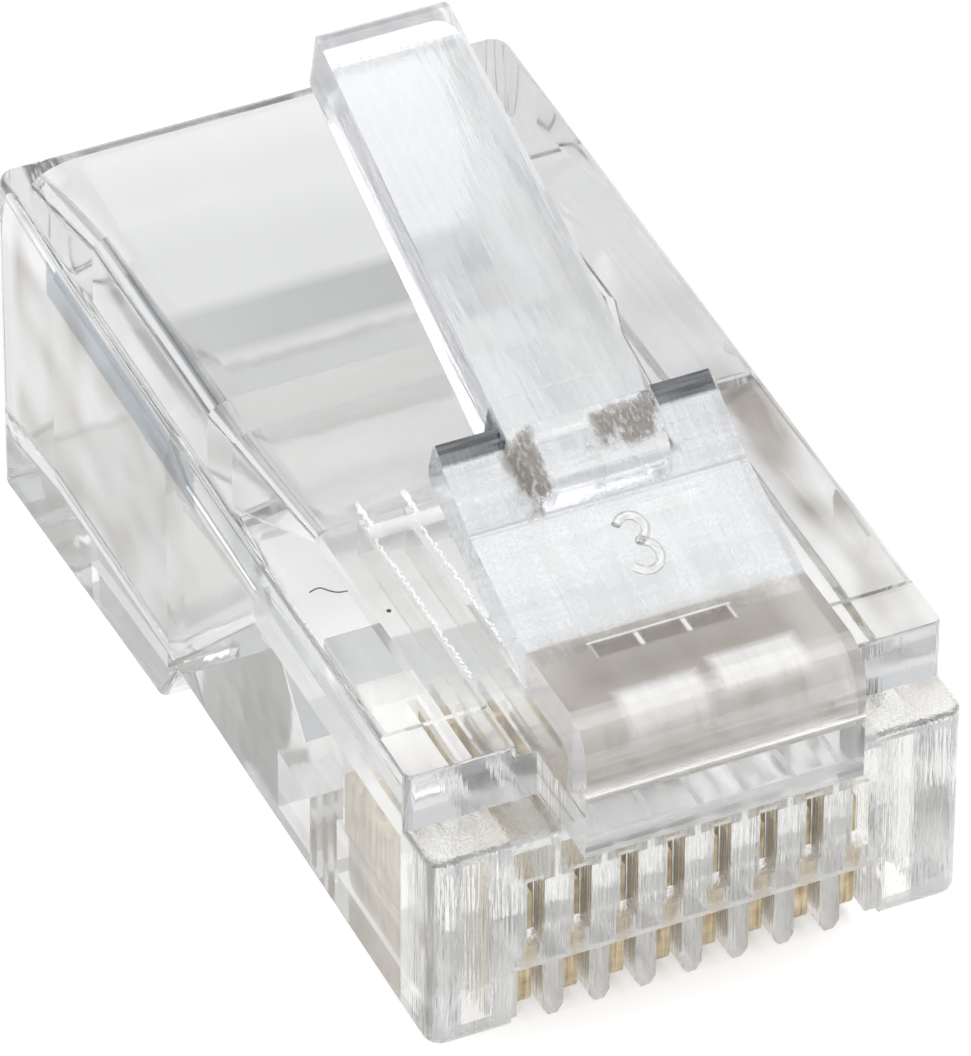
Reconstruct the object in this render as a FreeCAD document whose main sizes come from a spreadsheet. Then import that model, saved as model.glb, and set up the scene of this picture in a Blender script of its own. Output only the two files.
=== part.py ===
import FreeCAD, Part
import os
import re
import Sketcher

# Modular plug for eight conductors, as moulded and loaded, before a cable is fitted.
# It is drawn latch side up. X runs across the plug, Y from the nose to the cable
# entry and Z from the contact side to the latch side. Every body is drawn from the
# nose's lower front edge and then moved by its Placement, so that the origin lies
# under the middle of the whole plug, at its lowest point.

SIZES = [
    # moulded body
    ("body_width", 11.68, "overall width"),
    ("body_length", 22.2, "nose face to cable entry"),
    ("body_height", 6.35, "contact side of the nose to the latch side"),
    ("nose_height", 4.85, "contact side of the nose to its shelf"),
    ("shelf_depth", 1.16, "shelf behind the nose face"),
    ("lip_length", 2.44, "nose face to the end of the lowered lip"),
    ("lip_drop", 0.1, "lip below the latch side"),
    ("step_back", 13.6, "nose face to the thick rear part"),
    ("step_run", 1.0, "length of the slope up to the rear part"),
    ("step_drop", 1.4, "rear part below the nose, at the slope"),
    ("rear_drop", 1.95, "rear part below the nose, at the cable entry"),
    ("outer_edge_radius", 0.2, "outer edges along the body and round the cable entry"),
    ("rear_corner_radius", 0.45, "upright corners at the cable entry"),
    ("shelf_corner_radius", 0.18, "upright corners above the shelf"),
    ("nose_corner_radius", 0.4, "upright corners of the nose"),
    ("shelf_edge_radius", 0.15, "front edge of the shelf"),
    # recess that the pressed latch drops into
    ("trough_width", 7.0, "recess under the latch"),
    ("trough_depth", 0.4, "recess below the latch side"),
    ("trough_end", 8.4, "nose face to the end of the recess"),
    # cable cavity, funnel and wire channels
    ("cavity_width", 9.2, "cable cavity, across"),
    ("cavity_floor", -0.75, "floor of the cavity, from the nose's contact side"),
    ("cavity_roof", 5.3, "roof of the cavity, from the nose's contact side"),
    ("cavity_corner", 0.8, "corner radius of the cavity"),
    ("cavity_front", 13.8, "nose face to the cavity's front end"),
    ("mouth_flare", 0.4, "how far the mouth opens beyond the cavity"),
    ("mouth_depth", 2.4, "length of the flared mouth"),
    ("funnel_step_back", 13.0, "nose face to the foot of the funnel's steep part"),
    ("funnel_step_width", 8.8, "funnel there, across"),
    ("funnel_step_floor", 0.05, "floor of the funnel there"),
    ("funnel_step_roof", 4.65, "roof of the funnel there"),
    ("channel_width", 0.88, "square wire channel"),
    ("channel_height", 4.0, "channel centre above the nose's contact side"),
    ("channel_front", 0.2, "nose face to the closed end of a channel"),
    ("channel_entry", 9.6, "nose face to where the channels open"),
    ("funnel_corner", 0.4, "corner radius at the small end of the funnel"),
    # contacts and their slots
    ("contact_count", 8, "number of contacts"),
    ("contact_pitch", 1.016, "contact spacing"),
    ("blade_thickness", 0.3, "contact blade"),
    ("blade_front", 0.52, "nose face to the blade's front edge"),
    ("blade_length", 4.8, "blade, front to back"),
    ("blade_low", -0.05, "outer edge of the blade before crimping"),
    ("blade_top", 2.9, "shoulder of the blade under its prongs"),
    ("prong_top", 3.55, "tips of the prongs before crimping"),
    ("prong_width", 0.7, "foot of one prong"),
    ("prong_tip", 0.12, "flat left at a prong's tip"),
    ("prong_front", 2.6, "nose face to the first prong's centre"),
    ("prong_pitch", 1.6, "spacing of the prongs"),
    ("blade_corner", 0.3, "rounded lower corners of the blade"),
    ("blade_clearance", 0.02, "gap between a blade's side and its slit"),
    ("slit_end_gap", 0.04, "gap before and behind the blade"),
    ("slot_width", 0.56, "slot that the socket's spring wires enter"),
    ("slot_height", 1.44, "height of that slot"),
    ("slot_end_gap", 0.3, "slot behind the blade"),
    ("rib_setback", 0.25, "fronts of the ribs behind the nose face"),
    ("comb_width", 8.14, "inside width between the two corner posts"),
    ("rib_point", 0.2, "blunt foot of each rib below the nose"),
    ("rib_point_flat", 0.2, "flat end of that foot"),
    ("window_sill", 2.03, "foot of the windows above the ribs"),
    ("window_head", 3.7, "head of the windows, just inside the wire channels"),
    ("window_width", 0.38, "window in front of each blade"),
    # core-outs in the corner posts and in the contact side
    ("post_core_width", 0.6, "relief in each corner post"),
    ("post_core_length", 0.9, "relief, front to back"),
    ("post_core_height", 4.15, "height of the relief above the contact side"),
    ("post_core_inset", 1.19, "relief centre inside the plug's side"),
    ("post_core_back", 1.45, "nose face to the relief's centre"),
    ("underside_width", 9.74, "recess behind the contacts, contact side"),
    ("underside_front", 6.4, "nose face to that recess"),
    ("underside_back", 8.0, "nose face to that recess's rear wall"),
    ("underside_depth", 1.5, "depth of that recess"),
    # latch
    ("latch_width", 6.04, "latch plate across its shoulders"),
    ("root_overhang", 1.1, "latch root ahead of the nose face"),
    ("root_foot", 0.12, "underside of the root above the shelf"),
    ("web_thickness", 0.85, "upright web that carries the hinge"),
    ("hinge_height", 6.75, "hinge line above the nose's contact side"),
    ("hinge_clearance", 0.04, "gap round the hinge knuckle"),
    ("root_rise", 0.05, "front of the latch above the ridge of its plate"),
    ("ridge_back", 1.7, "nose face to the front edge of the plate"),
    ("ridge_height", 8.05, "that edge above the contact side"),
    ("crease_back", 4.4, "nose face to the foot of the shoulders' ramp"),
    ("crease_height", 8.95, "that line above the contact side"),
    ("shoulder_back", 6.15, "nose face to the top of the shoulders"),
    ("shoulder_height", 9.95, "that edge above the contact side"),
    ("plate_thickness", 0.95, "latch plate, measured upright"),
    ("shoulder_rake", 0.3, "lean of the shoulders' rear face"),
    ("shoulder_radius", 0.38, "lower rear edge of the shoulders"),
    ("root_top_radius", 0.8, "front top edge of the latch"),
    ("web_inner_radius", 0.4, "inside corner behind the web"),
    ("lever_nose_back", 4.45, "nose face to the lever's front end"),
    ("lever_waist_back", 5.6, "nose face to the lever's widest place"),
    ("lever_tip_back", 15.7, "nose face to the lever's free end"),
    ("lever_nose_height", 9.55, "top of the lever's front end above the contact side"),
    ("lever_tip_height", 13.33, "top of its free end above the contact side"),
    ("lever_thickness", 1.15, "lever, measured upright"),
    ("lever_nose_width", 2.8, "lever's upper face at its front end"),
    ("lever_waist_width", 3.25, "upper face at its widest place"),
    ("lever_tip_width", 2.9, "upper face at its free end"),
    ("lever_taper", 0.3, "lower face wider than the upper face"),
    ("lever_nose_radius", 0.3, "edges of the lever's front end"),
    ("lever_end_radius", 0.42, "upper edges of the lever's free end"),
    # strain relief
    ("relief_width", 6.6, "strain relief bar, across"),
    ("relief_front", 14.5, "nose face to its window"),
    ("relief_length", 3.5, "bar from its hinge line to its free end"),
    ("relief_thickness", 0.9, "bar at its free end"),
    ("relief_tooth", 0.55, "biting edge above the bar"),
    ("relief_tooth_width", 1.2, "foot of the biting edge"),
    ("relief_knuckle", 0.38, "radius of its hinge end"),
    ("relief_rise", 0.12, "outer face inside the plug's contact side"),
    ("relief_gap", 0.1, "gap round the bar in its window"),
]

doc = FreeCAD.newDocument("modular_plug")
sheet = doc.addObject("Spreadsheet::Sheet", "Sizes")
for row, (alias, size, note) in enumerate(SIZES, start=1):
    sheet.set("A%d" % row, note)
    sheet.set("B%d" % row, str(size))
    sheet.setAlias("B%d" % row, alias)
doc.recompute()

ALIASES = {alias for alias, size, note in SIZES}


def formula(text):
    """Expression with every size name pointing at the sheet."""
    return re.sub(r"[a-z_]+", lambda word: "Sizes." + word[0] if word[0] in ALIASES else word[0], text)


def size(alias):
    """Present value of a size, for telling edges apart."""
    return float(getattr(sheet, alias))


def new_body(label):
    """Body placed so that the plug's own corner sits where the origin asks."""
    body = doc.addObject("PartDesign::Body", label)
    body.Label = label
    body.setExpression("Placement.Base.y", formula("(root_overhang - body_length) / 2"))
    body.setExpression("Placement.Base.z", formula("rear_drop"))
    return body


def new_sketch(body, name, role, offset="0"):
    """Sketch on an origin plane of the body, moved off it by a formula."""
    plane = [item for item in body.Origin.OriginFeatures if item.Role == role][0]
    sketch = body.newObject("Sketcher::SketchObject", name)
    sketch.AttachmentSupport = (plane, [""])
    sketch.MapMode = "FlatFace"
    if offset != "0":
        sketch.setExpression("AttachmentOffset.Base.z", formula(offset))
    return sketch


def pin_point(sketch, edge, end, across, up):
    """Fix one end of an edge by its two coordinates."""
    for axis, kind, text in ((-2, "DistanceX", across), (-1, "DistanceY", up)):
        if text == "0":
            sketch.addConstraint(Sketcher.Constraint("PointOnObject", edge, end, axis))
        else:
            number = sketch.addConstraint(Sketcher.Constraint(kind, -1, 1, edge, end, 1.0))
            sketch.setExpression("Constraints[%d]" % number, formula(text))


def outline(sketch, points):
    """Closed outline whose corners are given as pairs of formulas."""
    first = sketch.GeometryCount
    count = len(points)
    start = [FreeCAD.Vector(index, index * index, 0) for index in range(count)]
    for index in range(count):
        sketch.addGeometry(Part.LineSegment(start[index], start[(index + 1) % count]))
    for index in range(count):
        following = first + (index + 1) % count
        sketch.addConstraint(Sketcher.Constraint("Coincident", first + index, 2, following, 1))
    for index, (across, up) in enumerate(points):
        pin_point(sketch, first + index, 1, across, up)


def box_outline(sketch, left, right, low, high):
    """Upright rectangle between four formulas."""
    outline(sketch, [(left, low), (right, low), (right, high), (left, high)])


def round_box(sketch, half_width, low, high, radius):
    """Rectangle about the sketch's upright axis, with rounded corners."""
    first = sketch.GeometryCount
    corners = [(3, 0, 2, 1), (3, 5, 0, 1), (-3, 5, 1, 1), (-3, 0, 3, 2)]
    sides = [((-2, 0), (2, 0)), ((3, 1), (3, 4)), ((2, 5), (-2, 5)), ((-3, 4), (-3, 1))]
    turns = [((2, 1), -90, 0), ((2, 4), 0, 90), ((-2, 4), 90, 180), ((-2, 1), 180, 270)]
    for begin, end in sides:
        sketch.addGeometry(Part.LineSegment(FreeCAD.Vector(*begin, 0), FreeCAD.Vector(*end, 0)))
    for centre, begin, end in turns:
        circle = Part.Circle(FreeCAD.Vector(*centre, 0), FreeCAD.Vector(0, 0, 1), 1)
        arc = Part.ArcOfCircle(circle, FreeCAD.Units.Quantity("%d deg" % begin).getValueAs("rad").Value,
                               FreeCAD.Units.Quantity("%d deg" % end).getValueAs("rad").Value)
        sketch.addGeometry(arc)
    for index in range(4):
        side = first + index
        arc = first + 4 + index
        sketch.addConstraint(Sketcher.Constraint("Tangent", side, 2, arc, 1))
        sketch.addConstraint(Sketcher.Constraint("Tangent", arc, 2, first + (index + 1) % 4, 1))
        if index:
            sketch.addConstraint(Sketcher.Constraint("Equal", first + 4, arc))
    sketch.addConstraint(Sketcher.Constraint("Horizontal", first))
    sketch.addConstraint(Sketcher.Constraint("Vertical", first + 1))
    sketch.addConstraint(Sketcher.Constraint("Horizontal", first + 2))
    sketch.addConstraint(Sketcher.Constraint("Vertical", first + 3))
    number = sketch.addConstraint(Sketcher.Constraint("Radius", first + 4, 1.0))
    sketch.setExpression("Constraints[%d]" % number, formula(radius))
    limits = [("DistanceX", first + 1, half_width), ("DistanceX", first + 3, "-(%s)" % half_width),
              ("DistanceY", first, low), ("DistanceY", first + 2, high)]
    for kind, side, text in limits:
        number = sketch.addConstraint(Sketcher.Constraint(kind, -1, 1, side, 1, 1.0))
        sketch.setExpression("Constraints[%d]" % number, formula(text))


def circle_at(sketch, across, up, diameter):
    """Circle with its centre and diameter from formulas."""
    edge = sketch.addGeometry(Part.Circle(FreeCAD.Vector(1, 1, 0), FreeCAD.Vector(0, 0, 1), 1))
    pin_point(sketch, edge, 3, across, up)
    number = sketch.addConstraint(Sketcher.Constraint("Diameter", edge, 2.0))
    sketch.setExpression("Constraints[%d]" % number, formula(diameter))


def extrude(body, kind, name, sketch, length, symmetric=False, reverse=False):
    """Pad or pocket of a sketch by a formula's length."""
    feature = body.newObject("PartDesign::" + kind, name)
    feature.Profile = sketch
    feature.setExpression("Length", formula(length))
    feature.SideType = "Symmetric" if symmetric else "One side"
    feature.Reversed = reverse
    sketch.Visibility = False
    doc.recompute()
    return feature


def loft(body, kind, name, sections):
    """Straight-sided loft through sketches."""
    feature = body.newObject("PartDesign::" + kind, name)
    feature.Profile = sections[0]
    feature.Sections = sections[1:]
    feature.Ruled = True
    doc.recompute()
    return feature


def contact_row(body, name, feature):
    """One copy of a feature for each contact, from the first contact's place."""
    axis = [item for item in body.Origin.OriginFeatures if item.Role == "X_Axis"][0]
    row = body.newObject("PartDesign::LinearPattern", name)
    row.Originals = [feature]
    row.Direction = (axis, [""])
    row.setExpression("Length", formula("(contact_count - 1) * contact_pitch"))
    row.setExpression("Occurrences", formula("contact_count"))
    body.Tip = row
    doc.recompute()
    return row


def round_edges(body, name, wanted, radius, kind="Fillet"):
    """Fillet or chamfer of the edges whose middle and direction satisfy a test."""
    base = body.Tip
    names = []
    for number, edge in enumerate(base.Shape.Edges, start=1):
        ends = [vertex.Point for vertex in edge.Vertexes]
        if len(ends) == 2 and edge.Length > 0.05:
            middle = (ends[0] + ends[1]) / 2
            along = (ends[1] - ends[0]).normalize()
            if wanted(middle, along):
                names.append("Edge%d" % number)
    feature = body.newObject("PartDesign::" + kind, name)
    feature.Base = (base, names)
    feature.setExpression("Radius" if kind == "Fillet" else "Size", formula(radius))
    doc.recompute()
    return feature


def near(first, second):
    return abs(first - second) < 0.02


FIRST_CONTACT = "-(contact_count - 1) * contact_pitch / 2"

# Housing: the outer block, drawn from the side and padded to the full width.
housing = new_body("housing")
side = new_sketch(housing, "side_profile", "YZ_Plane")
outline(side, [
    ("0", "0"),
    ("step_back - step_run", "0"),
    ("step_back", "-step_drop"),
    ("body_length", "-rear_drop"),
    ("body_length", "body_height"),
    ("shelf_depth", "body_height"),
    ("shelf_depth", "nose_height"),
    ("0", "nose_height"),
])
extrude(housing, "Pad", "block", side, "body_width", symmetric=True)

half = size("body_width") / 2
length = size("body_length")
height = size("body_height")
shelf = size("shelf_depth")


def is_outer_side(middle):
    return near(abs(middle.x), half)


def is_long_edge(middle, along):
    low = middle.z < 0 or near(middle.z, 0)
    return is_outer_side(middle) and abs(along.y) > abs(along.z) and (low or near(middle.z, height))


round_edges(housing, "shelf_corners",
            lambda middle, along: is_outer_side(middle) and near(middle.y, shelf) and near(abs(along.z), 1),
            "shelf_corner_radius")
round_edges(housing, "nose_corners",
            lambda middle, along: is_outer_side(middle) and near(middle.y, 0) and near(abs(along.z), 1),
            "nose_corner_radius")
round_edges(housing, "shelf_edge",
            lambda middle, along: near(middle.y, 0) and near(middle.z, size("nose_height")),
            "shelf_edge_radius")
round_edges(housing, "rear_corners",
            lambda middle, along: is_outer_side(middle) and near(middle.y, length) and near(abs(along.z), 1),
            "rear_corner_radius")
round_edges(housing, "step_edge",
            lambda middle, along: near(abs(along.x), 1) and near(middle.y, size("step_back")),
            "outer_edge_radius")
round_edges(housing, "outer_edges",
            lambda middle, along: is_long_edge(middle, along)
            or (near(middle.y, length) and near(abs(along.x), 1)),
            "outer_edge_radius")

# Lowered lip over the full width, then the recess for the pressed latch.
lip = new_sketch(housing, "lip_outline", "XY_Plane", "body_height")
box_outline(lip, "-body_width / 2", "body_width / 2", "0", "lip_length")
extrude(housing, "Pocket", "lip", lip, "lip_drop")

trough = new_sketch(housing, "trough_outline", "XY_Plane", "body_height")
box_outline(trough, "-trough_width / 2", "trough_width / 2", "shelf_depth / 2", "trough_end")
extrude(housing, "Pocket", "trough", trough, "trough_depth")

# Latch root: a foot between the shelf and the recess, and the web in front of it.
root = new_sketch(housing, "root_profile", "YZ_Plane")
outline(root, [
    ("-root_overhang", "nose_height + root_foot"),
    ("shelf_depth + trough_depth", "nose_height + root_foot"),
    ("shelf_depth + trough_depth", "body_height - trough_depth"),
    ("web_thickness - root_overhang", "body_height - trough_depth"),
    ("web_thickness - root_overhang", "hinge_height"),
    ("-root_overhang", "hinge_height"),
])
extrude(housing, "Pad", "latch_root", root, "latch_width", symmetric=True)
foot = new_sketch(housing, "foot_profile", "YZ_Plane")
box_outline(foot, "0", "shelf_depth + trough_depth", "nose_height - root_foot", "nose_height + root_foot")
extrude(housing, "Pad", "root_foot_pad", foot, "latch_width", symmetric=True)
seat = new_sketch(housing, "hinge_seat_profile", "YZ_Plane")
circle_at(seat, "web_thickness / 2 - root_overhang", "hinge_height", "web_thickness + 2 * hinge_clearance")
extrude(housing, "Pocket", "hinge_seat", seat, "latch_width", symmetric=True)

# Cable cavity: straight from the entry to the funnel, with a flared mouth.
cavity = new_sketch(housing, "cavity_outline", "XZ_Plane", "-body_length")
round_box(cavity, "cavity_width / 2", "cavity_floor", "cavity_roof", "cavity_corner")
extrude(housing, "Pocket", "cable_cavity", cavity, "body_length - cavity_front", reverse=True)

mouth = new_sketch(housing, "mouth_outline", "XZ_Plane", "-body_length")
round_box(mouth, "cavity_width / 2 + mouth_flare", "cavity_floor - mouth_flare",
          "cavity_roof + mouth_flare", "cavity_corner + mouth_flare")
throat = new_sketch(housing, "throat_outline", "XZ_Plane", "mouth_depth - body_length")
round_box(throat, "cavity_width / 2", "cavity_floor", "cavity_roof", "cavity_corner")
loft(housing, "SubtractiveLoft", "flared_mouth", [mouth, throat])

# Funnel that gathers the wires to one row, and the channels that hold them.
funnel_back = new_sketch(housing, "funnel_back_outline", "XZ_Plane", "-cavity_front")
round_box(funnel_back, "cavity_width / 2", "cavity_floor", "cavity_roof", "cavity_corner")
funnel_step = new_sketch(housing, "funnel_step_outline", "XZ_Plane", "-funnel_step_back")
round_box(funnel_step, "funnel_step_width / 2", "funnel_step_floor", "funnel_step_roof",
          "(cavity_corner + funnel_corner) / 2")
funnel_front = new_sketch(housing, "funnel_front_outline", "XZ_Plane", "-channel_entry")
round_box(funnel_front, "contact_count * contact_pitch / 2", "channel_height - channel_width / 2",
          "channel_height + channel_width / 2", "funnel_corner")
loft(housing, "SubtractiveLoft", "wire_funnel", [funnel_back, funnel_step, funnel_front])

channel = new_sketch(housing, "channel_outline", "XZ_Plane", "-channel_entry")
box_outline(channel, FIRST_CONTACT + " - channel_width / 2", FIRST_CONTACT + " + channel_width / 2",
            "channel_height - channel_width / 2", "channel_height + channel_width / 2")
bore = extrude(housing, "Pocket", "wire_channel", channel, "channel_entry - channel_front", reverse=True)
contact_row(housing, "wire_channels", bore)

# Comb at the nose. The slots take the socket's spring wires and the slits the blades.
slot = new_sketch(housing, "slot_outline", "YZ_Plane", FIRST_CONTACT)
box_outline(slot, "-shelf_depth", "blade_front + blade_length + slot_end_gap", "-rib_point", "slot_height")
cut = extrude(housing, "Pocket", "spring_slot", slot, "slot_width", symmetric=True)
contact_row(housing, "spring_slots", cut)

slit = new_sketch(housing, "slit_outline", "YZ_Plane", FIRST_CONTACT)
box_outline(slit, "blade_front - slit_end_gap", "blade_front + blade_length + slit_end_gap",
            "-rib_point", "channel_height")
cut = extrude(housing, "Pocket", "blade_slit", slit, "blade_thickness + 2 * blade_clearance", symmetric=True)
contact_row(housing, "blade_slits", cut)

window = new_sketch(housing, "window_outline", "XZ_Plane")
box_outline(window, FIRST_CONTACT + " - window_width / 2", FIRST_CONTACT + " + window_width / 2",
            "window_sill", "window_head")
cut = extrude(housing, "Pocket", "window", window, "blade_front")
contact_row(housing, "windows", cut)

# The ribs stand a little behind the nose face, below the sill that joins them.
setback = new_sketch(housing, "rib_setback_outline", "YZ_Plane")
box_outline(setback, "-shelf_depth", "rib_setback", "-rib_point", "slot_height")
extrude(housing, "Pocket", "rib_setback_cut", setback, "comb_width", symmetric=True)

# Blunt feet under the ribs between neighbouring contacts.
point = new_sketch(housing, "rib_point_outline", "XZ_Plane", "-rib_setback")
outline(point, [
    (FIRST_CONTACT + " + slot_width / 2", "0"),
    (FIRST_CONTACT + " + (contact_pitch - rib_point_flat) / 2", "-rib_point"),
    (FIRST_CONTACT + " + (contact_pitch + rib_point_flat) / 2", "-rib_point"),
    (FIRST_CONTACT + " + contact_pitch - slot_width / 2", "0"),
])
foot_pad = extrude(housing, "Pad", "rib_foot", point, "blade_front + blade_length - rib_setback",
                   reverse=True)
axis_x = [item for item in housing.Origin.OriginFeatures if item.Role == "X_Axis"][0]
feet = housing.newObject("PartDesign::LinearPattern", "rib_feet")
feet.Originals = [foot_pad]
feet.Direction = (axis_x, [""])
feet.setExpression("Length", formula("(contact_count - 2) * contact_pitch"))
feet.setExpression("Occurrences", formula("contact_count - 1"))
housing.Tip = feet
doc.recompute()

# Reliefs moulded up into the corner posts, and the recess behind the contacts.
posts = new_sketch(housing, "post_core_outline", "XY_Plane")
for sign in ("-", ""):
    centre = sign + "(body_width / 2 - post_core_inset)"
    box_outline(posts, centre + " - post_core_width / 2", centre + " + post_core_width / 2",
                "post_core_back - post_core_length / 2", "post_core_back + post_core_length / 2")
extrude(housing, "Pocket", "post_cores", posts, "post_core_height", reverse=True)

underside = new_sketch(housing, "underside_outline", "XY_Plane")
box_outline(underside, "-underside_width / 2", "underside_width / 2", "underside_front", "underside_back")
extrude(housing, "Pocket", "underside_recess", underside, "underside_depth", reverse=True)

# Window in the contact side for the strain relief bar.
opening = new_sketch(housing, "relief_window_outline", "XY_Plane", "-rear_drop")
box_outline(opening, "-relief_width / 2 - relief_gap", "relief_width / 2 + relief_gap",
            "relief_front", "relief_front + relief_knuckle + relief_length + 2 * relief_gap")
extrude(housing, "Pocket", "relief_window", opening, "rear_drop + cavity_floor + cavity_corner", reverse=True)

# Latch: plate and shoulders in one profile, hinged on a knuckle at the web's top.
latch = new_body("latch")
plate = new_sketch(latch, "plate_profile", "YZ_Plane")
outline(plate, [
    ("-root_overhang", "hinge_height"),
    ("-root_overhang", "ridge_height + root_rise"),
    ("ridge_back", "ridge_height"),
    ("crease_back", "crease_height"),
    ("shoulder_back", "shoulder_height"),
    ("shoulder_back + shoulder_rake", "shoulder_height - plate_thickness"),
    ("crease_back", "crease_height - plate_thickness"),
    ("ridge_back", "ridge_height - plate_thickness"),
    ("web_thickness - root_overhang", "ridge_height - plate_thickness"),
    ("web_thickness - root_overhang", "hinge_height"),
])
extrude(latch, "Pad", "plate", plate, "latch_width", symmetric=True)
knuckle = new_sketch(latch, "knuckle_profile", "YZ_Plane")
circle_at(knuckle, "web_thickness / 2 - root_overhang", "hinge_height", "web_thickness")
extrude(latch, "Pad", "knuckle", knuckle, "latch_width", symmetric=True)

overhang = size("root_overhang")
round_edges(latch, "shoulder_edges",
            lambda middle, along: near(abs(along.x), 1)
            and near(middle.y, size("shoulder_back") + size("shoulder_rake"))
            and middle.z < size("shoulder_height"),
            "shoulder_radius")
round_edges(latch, "root_top_edge",
            lambda middle, along: near(abs(along.x), 1) and near(middle.y, -overhang)
            and near(middle.z, size("ridge_height") + size("root_rise")),
            "root_top_radius")
round_edges(latch, "web_inner_edge",
            lambda middle, along: near(abs(along.x), 1) and near(middle.y, size("web_thickness") - overhang)
            and near(middle.z, size("ridge_height") - size("plate_thickness")),
            "web_inner_radius")

# Lever: wider below than above, and widest just behind the shoulders' ramp.
SLOPE = "(lever_tip_height - lever_nose_height) / (lever_tip_back - lever_nose_back)"
STATIONS = [
    ("nose", "lever_nose_back", "lever_nose_width"),
    ("waist", "lever_waist_back", "lever_waist_width"),
    ("tip", "lever_tip_back", "lever_tip_width"),
]
sections = []
for station, back, width in STATIONS:
    section = new_sketch(latch, "lever_%s_section" % station, "XZ_Plane", "-" + back)
    top = "lever_nose_height + (%s - lever_nose_back) * %s" % (back, SLOPE)
    outline(section, [
        ("-(%s + lever_taper) / 2" % width, top + " - lever_thickness"),
        ("(%s + lever_taper) / 2" % width, top + " - lever_thickness"),
        (width + " / 2", top),
        ("-%s / 2" % width, top),
    ])
    sections.append(section)
loft(latch, "AdditiveLoft", "lever", sections)

tip = size("lever_tip_back")
tip_height = size("lever_tip_height")
nose = size("lever_nose_back")
round_edges(latch, "lever_end_edges",
            lambda middle, along: near(middle.y, tip) and (near(middle.z, tip_height)
                                                           or not near(abs(along.x), 1)),
            "lever_end_radius")
round_edges(latch, "lever_nose_edges",
            lambda middle, along: near(middle.y, nose)
            and middle.z > size("crease_height") + size("root_rise"),
            "lever_nose_radius")

# Strain relief bar: hinged at its front end, with a biting edge near its free end.
relief = new_body("strain_relief_bar")
HINGE_Y = "relief_front + relief_knuckle + relief_gap"
HINGE_Z = "relief_rise + relief_knuckle - step_drop"
bar = new_sketch(relief, "bar_profile", "YZ_Plane")
outline(bar, [
    (HINGE_Y, "relief_rise - step_drop"),
    (HINGE_Y + " + relief_length", "relief_rise - rear_drop + (rear_drop - step_drop) / 2"),
    (HINGE_Y + " + relief_length", "relief_rise - step_drop + relief_thickness"),
    (HINGE_Y + " + relief_length - relief_tooth_width / 4",
     "relief_rise - step_drop + relief_thickness + relief_tooth"),
    (HINGE_Y + " + relief_length - relief_tooth_width", "relief_rise - step_drop + relief_thickness"),
    (HINGE_Y, "relief_rise - step_drop + 2 * relief_knuckle"),
])
extrude(relief, "Pad", "bar", bar, "relief_width", symmetric=True)
pivot = new_sketch(relief, "bar_knuckle_profile", "YZ_Plane")
circle_at(pivot, HINGE_Y, HINGE_Z, "2 * relief_knuckle")
extrude(relief, "Pad", "bar_knuckle", pivot, "relief_width", symmetric=True)

# Contacts: flat blades with two prongs that pierce the wires when they are driven in.
blades = []
for place in range(int(size("contact_count"))):
    blade = new_body("contact_%d" % (place + 1))
    face = new_sketch(blade, "blade_profile_%d" % (place + 1), "YZ_Plane",
                      FIRST_CONTACT + " + %d * contact_pitch" % place)
    profile = [("blade_front", "blade_low"), ("blade_front + blade_length", "blade_low"),
               ("blade_front + blade_length", "blade_top")]
    for centre in ("prong_front + prong_pitch", "prong_front"):
        profile.append((centre + " + prong_width / 2", "blade_top"))
        profile.append((centre + " + prong_tip / 2", "prong_top"))
        profile.append((centre + " - prong_tip / 2", "prong_top"))
        profile.append((centre + " - prong_width / 2", "blade_top"))
    profile.append(("blade_front", "blade_top"))
    outline(face, profile)
    extrude(blade, "Pad", "blade_%d" % (place + 1), face, "blade_thickness", symmetric=True)
    round_edges(blade, "blade_corners_%d" % (place + 1),
                lambda middle, along: near(middle.z, size("blade_low")) and near(abs(along.x), 1),
                "blade_corner")
    blades.append(blade)

doc.recompute()

for item in doc.Objects:
    if "Invalid" in item.State or "Error" in item.State:
        raise RuntimeError("%s did not build: %s" % (item.Label, item.State))

os.makedirs("parts", exist_ok=True)
for body in [housing, latch, relief] + blades:
    if body.Shape.isNull() or not body.Shape.isValid() or len(body.Shape.Solids) != 1:
        raise RuntimeError("%s is not one sound solid" % body.Label)
    body.Shape.exportStep("parts/%s.step" % body.Label)
    print("%-18s %8.3f mm3" % (body.Label, body.Shape.Volume))
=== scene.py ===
# %% [markdown]
# # A clear eight-way modular plug
# This little part ends a network cable. It is one clear moulding with a springy latch,
# eight flat contacts in a comb at the nose, and a hollow behind them for the cable. The
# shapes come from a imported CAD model, so the work here is light, finish and the small
# marks that a mould, a press and handling leave. Every length in Blender is in metres.

# %% Load the CAD frame
import bmesh
import bpy
import math
import random
from mathutils import Matrix, Vector


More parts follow.
